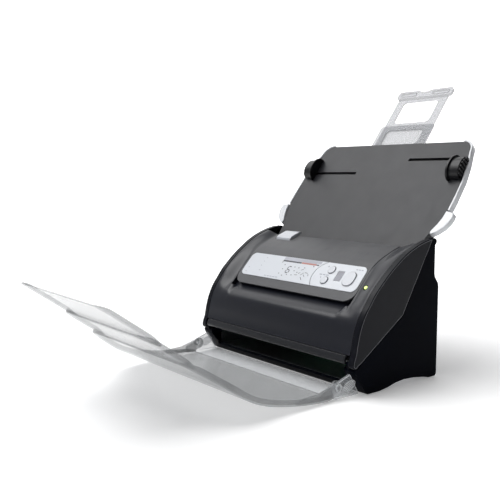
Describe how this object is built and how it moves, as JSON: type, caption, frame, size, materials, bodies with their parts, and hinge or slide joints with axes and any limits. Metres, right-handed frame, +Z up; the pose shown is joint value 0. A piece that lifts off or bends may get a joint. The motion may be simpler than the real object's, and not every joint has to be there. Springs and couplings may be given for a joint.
{
  "type": "sheet fed document scanner",
  "caption": "Desktop sheet fed document scanner with an upright input chute, drop-forward feeder cover with control panel, and a clear curved output tray.",
  "frame": {"origin": "centre of the outer box in X and Y, on the desk plane", "axes": "+Z up, -Y towards the user (the output tray side), +X to the machine's right as seen by the user"},
  "size_m": [0.3444, 0.6438, 0.4071],
  "materials": {
    "case_black": "satin moulded near-black plastic",
    "cover_black": "glossy blue-black plastic",
    "cheek_black": "satin near-black plastic with a bright worn rim",
    "cover_grey": "fine-textured dark grey plastic",
    "lip_grey": "dark grey plastic",
    "panel_silver": "silver-painted plastic",
    "trim_silver": "bright silver paint",
    "key_grey": "silver-painted key tops",
    "display_grey": "clear window over a grey display",
    "lamp_green": "clear lens, lit yellow-green",
    "chute_grey": "fine-textured dark grey plastic",
    "guide_black": "satin black plastic",
    "tray_clear": "clear plastic, edges read darker",
    "rest_smoke": "clear plastic with a grey tint",
    "steel": "ground steel",
    "zinc_sheet": "zinc-plated sheet",
    "rubber": "matt black rubber",
    "roller_rubber": "matt dark grey rubber",
    "inner_grey": "matt grey inner plastic",
    "sensor_glass": "clear glass, faintly green",
    "board_green": "green circuit board",
    "socket_black": "matt black plastic",
    "pad_cork": "brown friction rubber"
  },
  "bodies": {
    "chassis": {"base_housing": "case_black", "rear_cover": "socket_black", "bottom_plate": "zinc_sheet", "front_foot_strip": "rubber", "rear_foot_strip": "rubber", "lower_guide_plate": "inner_grey", "lower_sensor_glass": "sensor_glass", "side_frame_left": "zinc_sheet", "side_frame_right": "zinc_sheet", "drive_motor": "steel", "motor_belt": "rubber", "pick_belt": "rubber", "exit_belt": "rubber", "lower_sensor": "socket_black", "main_board": "board_green", "power_inlet": "socket_black", "data_socket": "zinc_sheet", "chute_tray": "chute_grey", "chute_back_cover": "chute_grey", "chute_trim_left": "trim_silver", "chute_wing_left": "trim_silver", "chute_trim_right": "trim_silver", "chute_wing_right": "trim_silver", "tray_arms": "tray_clear"},
    "front_cover": {"front_panel": "cover_black", "top_cover": "cover_grey", "lip_band": "lip_grey", "cover_cheek_left": "cheek_black", "cover_cheek_right": "cheek_black", "control_panel": "panel_silver", "display_window": "display_grey", "status_lamp": "lamp_green", "control_board": "board_green", "upper_guide_plate": "inner_grey", "upper_sensor": "socket_black", "upper_sensor_glass": "sensor_glass", "separation_pad": "pad_cork", "pad_spring": "steel"},
    "lever": {"release_lever": "key_grey"},
    "up_key": {"up_button": "key_grey"},
    "down_key": {"down_button": "key_grey"},
    "scan_key": {"scan_button": "key_grey"},
    "feed_roll": {"feed_shaft": "steel", "feed_roller": "roller_rubber"},
    "pick_roll": {"pick_shaft": "steel", "pick_roller": "roller_rubber"},
    "exit_roll": {"exit_shaft": "steel", "exit_roller": "roller_rubber"},
    "motor_rotor": {"motor_pulley": "steel"},
    "feed_idler_roll": {"feed_idler": "inner_grey"},
    "exit_idler_roll": {"exit_idler": "inner_grey"},
    "guide_right": {"paper_guide_right": "guide_black"},
    "guide_left": {"paper_guide_left": "guide_black"},
    "pinion": {"guide_pinion": "inner_grey"},
    "rest_stage_1": {"rest_lower": "rest_smoke"},
    "rest_stage_2": {"rest_upper": "rest_smoke"},
    "tray": {"output_tray": "tray_clear"},
    "tray_stage_1": {"tray_extension_1": "tray_clear"},
    "tray_stage_2": {"tray_extension_2": "tray_clear"}
  },
  "joints": [
    {"name": "cover_hinge", "type": "hinge", "parent": "chassis", "child": "front_cover", "pos_m": [0, -0.00948, 0.04], "axis": [1, 0, 0], "range_deg": [0, 60]},
    {"name": "release_lever_pivot", "type": "hinge", "parent": "front_cover", "child": "lever", "pos_m": [-0.097, 0.09972, 0.1666], "axis": [1, 0, 0], "range_deg": [0, 12], "stiffness_Nm_per_rad": 0.06, "springref_deg": -5.73},
    {"name": "up_button_press", "type": "slide", "parent": "front_cover", "child": "up_key", "axis": [0, 0.7314, -0.682], "range_m": [0, 0.0008], "stiffness_N_per_m": 1200, "springref_m": -0.0004},
    {"name": "down_button_press", "type": "slide", "parent": "front_cover", "child": "down_key", "axis": [0, 0.7314, -0.682], "range_m": [0, 0.0008], "stiffness_N_per_m": 1200, "springref_m": -0.0004},
    {"name": "scan_button_press", "type": "slide", "parent": "front_cover", "child": "scan_key", "axis": [0, 0.7314, -0.682], "range_m": [0, 0.0008], "stiffness_N_per_m": 1200, "springref_m": -0.0004},
    {"name": "feed_spin", "type": "hinge", "parent": "chassis", "child": "feed_roll", "pos_m": [0, 0.07979, 0.08134], "axis": [1, 0, 0], "continuous": true},
    {"name": "pick_spin", "type": "hinge", "parent": "chassis", "child": "pick_roll", "pos_m": [0, 0.11442, 0.12981], "axis": [1, 0, 0], "continuous": true},
    {"name": "exit_spin", "type": "hinge", "parent": "chassis", "child": "exit_roll", "pos_m": [0, 0.02579, 0.04585], "axis": [1, 0, 0], "continuous": true},
    {"name": "motor_spin", "type": "hinge", "parent": "chassis", "child": "motor_rotor", "pos_m": [0.148, 0.08452, 0.04], "axis": [1, 0, 0], "continuous": true},
    {"name": "feed_idler_spin", "type": "hinge", "parent": "front_cover", "child": "feed_idler_roll", "pos_m": [0, 0.07034, 0.09571], "axis": [1, 0, 0], "continuous": true},
    {"name": "exit_idler_spin", "type": "hinge", "parent": "front_cover", "child": "exit_idler_roll", "pos_m": [0, 0.01689, 0.05939], "axis": [1, 0, 0], "continuous": true},
    {"name": "right_guide_slide", "type": "slide", "parent": "chassis", "child": "guide_right", "axis": [-1, 0, 0], "range_m": [0, 0.08]},
    {"name": "left_guide_slide", "type": "slide", "parent": "chassis", "child": "guide_left", "axis": [1, 0, 0], "range_m": [0, 0.08]},
    {"name": "guide_pinion_spin", "type": "hinge", "parent": "chassis", "child": "pinion", "pos_m": [0, 0.2116, 0.28387], "axis": [0, -0.7869, 0.617], "range_deg": [-5, 520]},
    {"name": "rest_lower_slide", "type": "slide", "parent": "chassis", "child": "rest_stage_1", "axis": [0, 0.617, 0.7869], "range_m": [-0.045, 0]},
    {"name": "rest_upper_slide", "type": "slide", "parent": "rest_stage_1", "child": "rest_stage_2", "axis": [0, 0.617, 0.7869], "range_m": [-0.058, 0]},
    {"name": "output_tray_fold", "type": "hinge", "parent": "chassis", "child": "tray", "pos_m": [0, -0.03048, 0.015], "axis": [1, 0, 0], "range_deg": [-95, 0]},
    {"name": "tray_extension_1_slide", "type": "slide", "parent": "tray", "child": "tray_stage_1", "axis": [0, -0.8192, 0.5736], "range_m": [-0.035, 0]},
    {"name": "tray_extension_2_slide", "type": "slide", "parent": "tray_stage_1", "child": "tray_stage_2", "axis": [0, -0.8192, 0.5736], "range_m": [-0.04, 0]}
  ],
  "couplings": [
    {"joint": "pick_spin", "follows": "feed_spin", "ratio": 1},
    {"joint": "exit_spin", "follows": "feed_spin", "ratio": 1},
    {"joint": "motor_spin", "follows": "feed_spin", "ratio": 2},
    {"joint": "left_guide_slide", "follows": "right_guide_slide", "ratio": 1},
    {"joint": "guide_pinion_spin", "follows": "right_guide_slide", "rad_per_m": 111.11}
  ]
}
